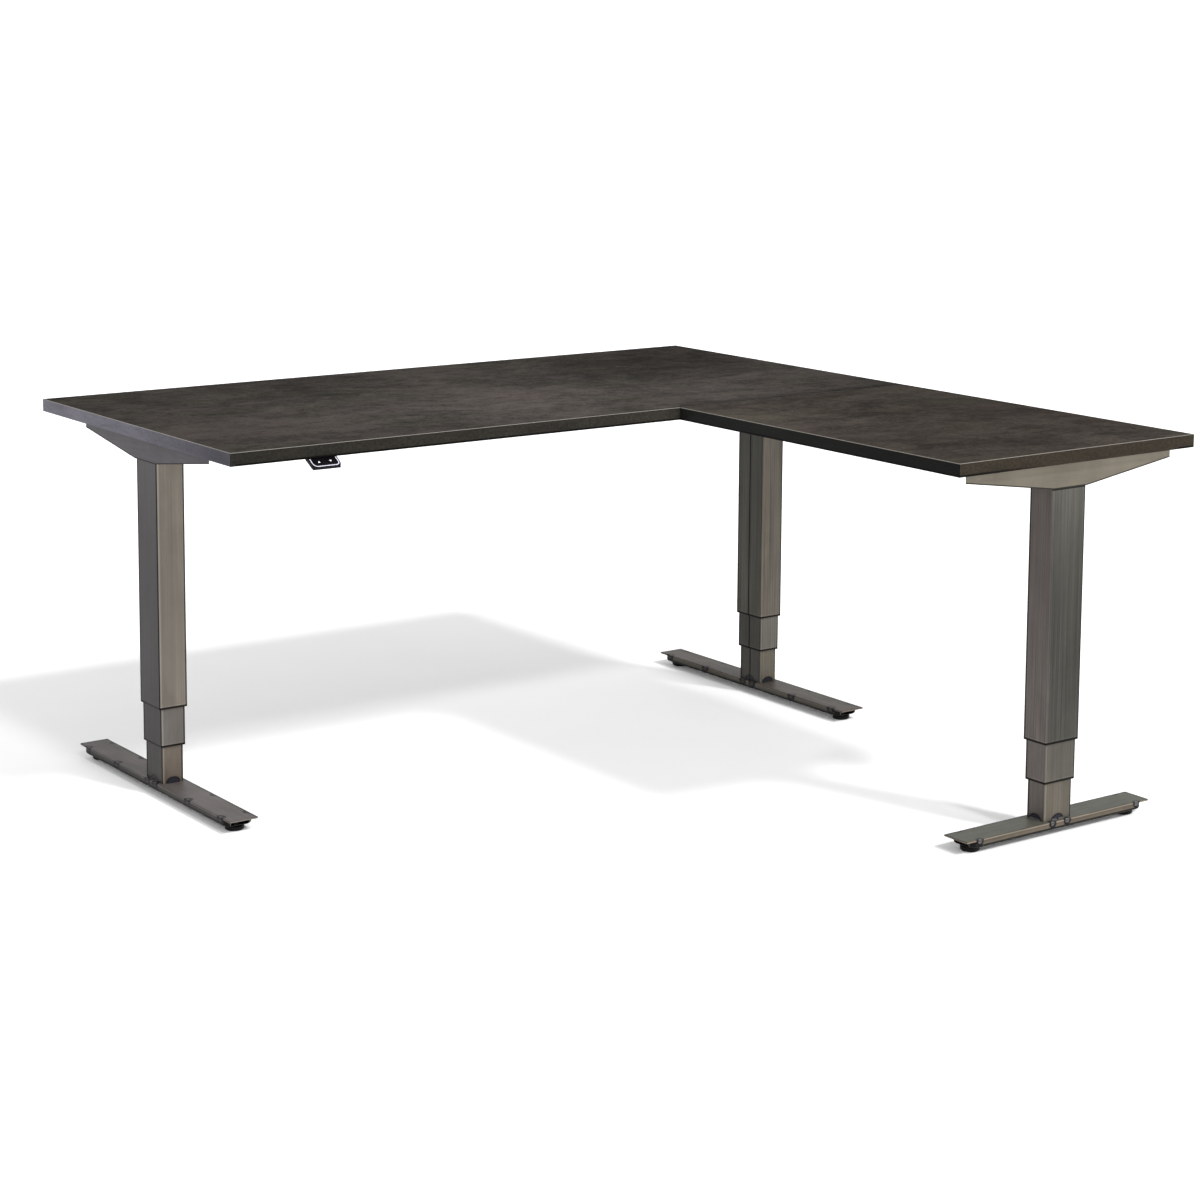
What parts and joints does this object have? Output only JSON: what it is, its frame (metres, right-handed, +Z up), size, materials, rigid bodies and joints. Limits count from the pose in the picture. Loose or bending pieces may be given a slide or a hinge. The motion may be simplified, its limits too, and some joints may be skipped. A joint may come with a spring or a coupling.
{
  "type": "height adjustable corner desk",
  "caption": "L-shaped electric sit-stand desk: dark stone-effect top with a return, raw steel frame on telescopic lifting columns with T feet and a small up/down handset under the front edge.",
  "frame": {"origin": "middle of the plan envelope, on the floor plane under the glides", "axes": "+Z up; +X along the main board from its free end to the corner; +Y from the user's side towards the main board's back edge, so the return runs towards -Y"},
  "size_m": [1.6, 1.6, 0.725],
  "materials": {
    "laminate": "dark stone-effect laminate on chipboard, matt",
    "edge_band": "plastic edge banding matched to the laminate, matt",
    "raw_steel": "clear-lacquered raw mild steel with drawing marks",
    "weld_steel": "heat-tinted weld",
    "screw_steel": "rolled lift screw, greased",
    "fastener": "zinc-plated",
    "slide_polymer": "natural acetal",
    "zinc_casting": "die-cast",
    "motor_can": "black painted can",
    "black_polymer": "moulded black, fine texture",
    "black_sheet": "powder-coated black",
    "circuit": "circuit board with parts",
    "black_gloss": "gloss black",
    "bright_line": "bright trim line",
    "glide_rubber": "black glide moulded on a stud"
  },
  "bodies": {
    "base": {"inner_guide_pads": "slide_polymer", "lower_screw_nuts": "slide_polymer", "foot_weld_beads": "weld_steel", "glide_weld_nuts": "fastener", "left_foot_plate": "raw_steel", "left_foot_channel": "raw_steel", "left_inner_tube": "raw_steel", "corner_foot_plate": "raw_steel", "corner_foot_channel": "raw_steel", "corner_inner_tube": "raw_steel", "return_foot_plate": "raw_steel", "return_foot_channel": "raw_steel", "return_inner_tube": "raw_steel"},
    "left_middle": {"left_middle_tube": "raw_steel", "left_middle_guide_pads": "slide_polymer", "left_bearing_block": "zinc_casting"},
    "left_lower_screw": {"left_lower_screw": "screw_steel"},
    "left_upper_screw": {"left_upper_screw": "screw_steel"},
    "corner_middle": {"corner_middle_tube": "raw_steel", "corner_middle_guide_pads": "slide_polymer", "corner_bearing_block": "zinc_casting"},
    "corner_lower_screw": {"corner_lower_screw": "screw_steel"},
    "corner_upper_screw": {"corner_upper_screw": "screw_steel"},
    "return_middle": {"return_middle_tube": "raw_steel", "return_middle_guide_pads": "slide_polymer", "return_bearing_block": "zinc_casting"},
    "return_lower_screw": {"return_lower_screw": "screw_steel"},
    "return_upper_screw": {"return_upper_screw": "screw_steel"},
    "top": {"desktop_main": "laminate", "desktop_main_edging": "edge_band", "desktop_return": "laminate", "desktop_return_edging": "edge_band", "joining_plates": "fastener", "desktop_screws": "fastener", "frame_bolts": "fastener", "main_rails": "raw_steel", "return_rails": "raw_steel", "outer_guide_pads": "slide_polymer", "lift_motors": "motor_can", "motor_gearboxes": "zinc_casting", "control_box_case": "black_polymer", "control_box_lid": "black_sheet", "control_board": "circuit", "handset_case": "black_gloss", "handset_trim": "bright_line", "handset_circuit_board": "circuit", "left_outer_tube": "raw_steel", "left_arm": "raw_steel", "corner_outer_tube": "raw_steel", "corner_arm": "raw_steel", "return_outer_tube": "raw_steel", "return_arm": "raw_steel"},
    "button_up": {"button_up": "black_gloss"},
    "button_down": {"button_down": "black_gloss"},
    "left_front_glide": {"left_front_glide": "glide_rubber"},
    "left_back_glide": {"left_back_glide": "glide_rubber"},
    "corner_front_glide": {"corner_front_glide": "glide_rubber"},
    "corner_back_glide": {"corner_back_glide": "glide_rubber"},
    "return_left_glide": {"return_left_glide": "glide_rubber"},
    "return_right_glide": {"return_right_glide": "glide_rubber"}
  },
  "joints": [
    {"name": "left_column_lift", "type": "slide", "parent": "base", "child": "left_middle", "axis": [0, 0, 1], "range_m": [-0.05, 0.275]},
    {"name": "desktop_lift", "type": "slide", "parent": "left_middle", "child": "top", "axis": [0, 0, 1], "range_m": [-0.05, 0.275]},
    {"name": "corner_column_lift", "type": "slide", "parent": "base", "child": "corner_middle", "axis": [0, 0, 1], "range_m": [-0.05, 0.275]},
    {"name": "return_column_lift", "type": "slide", "parent": "base", "child": "return_middle", "axis": [0, 0, 1], "range_m": [-0.05, 0.275]},
    {"name": "left_lower_screw_turn", "type": "hinge", "parent": "left_middle", "child": "left_lower_screw", "pos_m": [-0.7395, 0.4, 0.5], "axis": [0, 0, 1], "range_deg": [-3000.5, 16500.5]},
    {"name": "left_upper_screw_turn", "type": "hinge", "parent": "top", "child": "left_upper_screw", "pos_m": [-0.7395, 0.4, 0.5], "axis": [0, 0, 1], "range_deg": [-3000.5, 16500.5]},
    {"name": "corner_lower_screw_turn", "type": "hinge", "parent": "corner_middle", "child": "corner_lower_screw", "pos_m": [0.6985, 0.354, 0.5], "axis": [0, 0, 1], "range_deg": [-3000.5, 16500.5]},
    {"name": "corner_upper_screw_turn", "type": "hinge", "parent": "top", "child": "corner_upper_screw", "pos_m": [0.6985, 0.354, 0.5], "axis": [0, 0, 1], "range_deg": [-3000.5, 16500.5]},
    {"name": "return_lower_screw_turn", "type": "hinge", "parent": "return_middle", "child": "return_lower_screw", "pos_m": [0.495, -0.7495, 0.5], "axis": [0, 0, 1], "range_deg": [-3000.5, 16500.5]},
    {"name": "return_upper_screw_turn", "type": "hinge", "parent": "top", "child": "return_upper_screw", "pos_m": [0.495, -0.7495, 0.5], "axis": [0, 0, 1], "range_deg": [-3000.5, 16500.5]},
    {"name": "button_up_press", "type": "slide", "parent": "top", "child": "button_up", "axis": [0, 0.4664, -0.8846], "range_m": [0, 0.001], "stiffness_N_per_m": 1500},
    {"name": "button_down_press", "type": "slide", "parent": "top", "child": "button_down", "axis": [0, 0.4664, -0.8846], "range_m": [0, 0.001], "stiffness_N_per_m": 1500},
    {"name": "left_front_glide_adjust", "type": "slide", "parent": "base", "child": "left_front_glide", "axis": [0, 0, -1], "range_m": [0, 0.01]},
    {"name": "left_back_glide_adjust", "type": "slide", "parent": "base", "child": "left_back_glide", "axis": [0, 0, -1], "range_m": [0, 0.01]},
    {"name": "corner_front_glide_adjust", "type": "slide", "parent": "base", "child": "corner_front_glide", "axis": [0, 0, -1], "range_m": [0, 0.01]},
    {"name": "corner_back_glide_adjust", "type": "slide", "parent": "base", "child": "corner_back_glide", "axis": [0, 0, -1], "range_m": [0, 0.01]},
    {"name": "return_left_glide_adjust", "type": "slide", "parent": "base", "child": "return_left_glide", "axis": [0, 0, -1], "range_m": [0, 0.01]},
    {"name": "return_right_glide_adjust", "type": "slide", "parent": "base", "child": "return_right_glide", "axis": [0, 0, -1], "range_m": [0, 0.01]}
  ],
  "couplings": [
    {"joint": "desktop_lift", "follows": "left_column_lift", "ratio": 1},
    {"joint": "corner_column_lift", "follows": "left_column_lift", "ratio": 1},
    {"joint": "return_column_lift", "follows": "left_column_lift", "ratio": 1},
    {"joint": "left_lower_screw_turn", "follows": "left_column_lift", "rad_per_m": 1047.2},
    {"joint": "left_upper_screw_turn", "follows": "left_column_lift", "rad_per_m": 1047.2},
    {"joint": "corner_lower_screw_turn", "follows": "left_column_lift", "rad_per_m": 1047.2},
    {"joint": "corner_upper_screw_turn", "follows": "left_column_lift", "rad_per_m": 1047.2},
    {"joint": "return_lower_screw_turn", "follows": "left_column_lift", "rad_per_m": 1047.2},
    {"joint": "return_upper_screw_turn", "follows": "left_column_lift", "rad_per_m": 1047.2}
  ]
}
